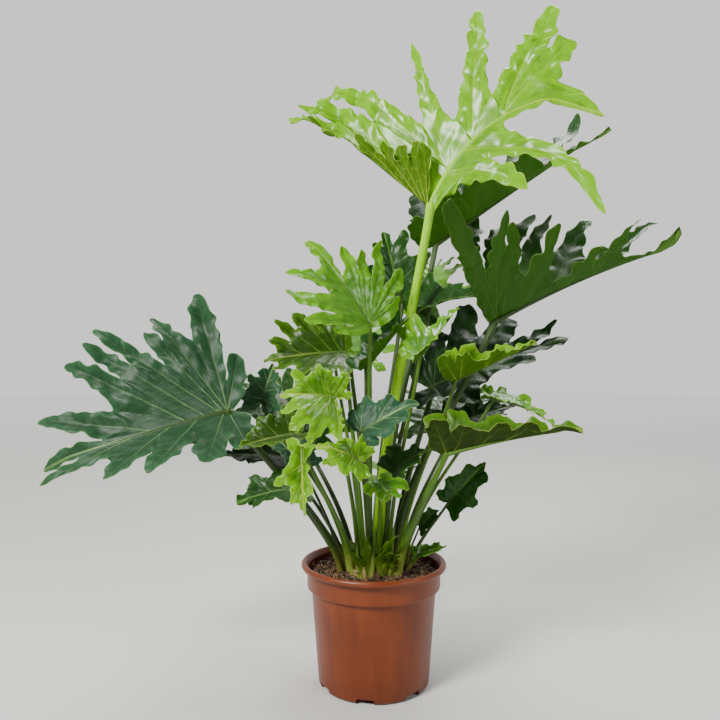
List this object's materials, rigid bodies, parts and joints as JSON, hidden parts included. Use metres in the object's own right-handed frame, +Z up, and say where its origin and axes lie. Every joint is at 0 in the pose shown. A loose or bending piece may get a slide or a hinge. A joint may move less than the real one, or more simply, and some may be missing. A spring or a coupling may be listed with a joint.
{
  "type": "potted philodendron selloum",
  "caption": "Potted tree philodendron with deeply lobed, waved leaves on long stalks rising from one crown in a terracotta-coloured nursery pot.",
  "frame": {"origin": "centre of the pot's flat base", "axes": "+Z up along the pot's axis, -Y towards the front of the plant, +X to the side of the largest upper leaves"},
  "size_m": [0.9366, 0.5168, 0.9784],
  "materials": {
    "pot": "satin terracotta brown, lightly scuffed",
    "soil": "matt, damp peat with bark and straw fibres",
    "leaf_lime": "satin, fresh lime green with paler veins",
    "leaf_mid": "satin, medium green with paler veins",
    "leaf_dark": "satin, dark green upper side and duller underside",
    "leaf_deep": "satin, deep shaded green",
    "leaf_blue": "satin, dark bluish green with a soft bloom",
    "leaf_olive": "satin, yellowish olive green",
    "leaf_base_straw": "dry, pale straw"
  },
  "bodies": {
    "root": {"pot": "pot", "soil": "soil", "leaf_top": "leaf_lime", "leaf_behind_top": "leaf_dark", "leaf_right_large": "leaf_dark", "leaf_left_large": "leaf_blue", "leaf_star": "leaf_mid", "leaf_right_low": "leaf_olive", "leaf_small_lime": "leaf_lime", "leaf_droop_right": "leaf_mid", "leaf_behind_right": "leaf_deep", "leaf_gap_right": "leaf_deep", "leaf_right_lower": "leaf_dark", "leaf_sprig": "leaf_dark", "leaf_rim": "leaf_mid", "leaf_fork": "leaf_dark", "leaf_centre_blue": "leaf_blue", "leaf_centre_lime": "leaf_lime", "leaf_centre_low": "leaf_mid", "leaf_curled_lime": "leaf_lime", "leaf_left_olive": "leaf_olive", "leaf_left_inner": "leaf_olive", "leaf_folded": "leaf_dark", "leaf_striped": "leaf_mid", "leaf_arch": "leaf_dark", "leaf_behind_stem": "leaf_dark", "leaf_low_left": "leaf_dark", "leaf_lime_tail": "leaf_lime", "leaf_left_back": "leaf_deep", "leaf_left_mid": "leaf_olive", "leaf_left_blue": "leaf_blue", "leaf_left_rear": "leaf_blue", "leaf_back_left": "leaf_dark", "leaf_back_mid": "leaf_mid", "leaf_back_right": "leaf_dark", "leaf_back_low": "leaf_mid", "leaf_back_high": "leaf_mid", "shoot_front": "leaf_lime", "shoot_middle": "leaf_mid", "shoot_right": "leaf_mid", "old_leaf_base": "leaf_base_straw"}
  },
  "joints": []
}
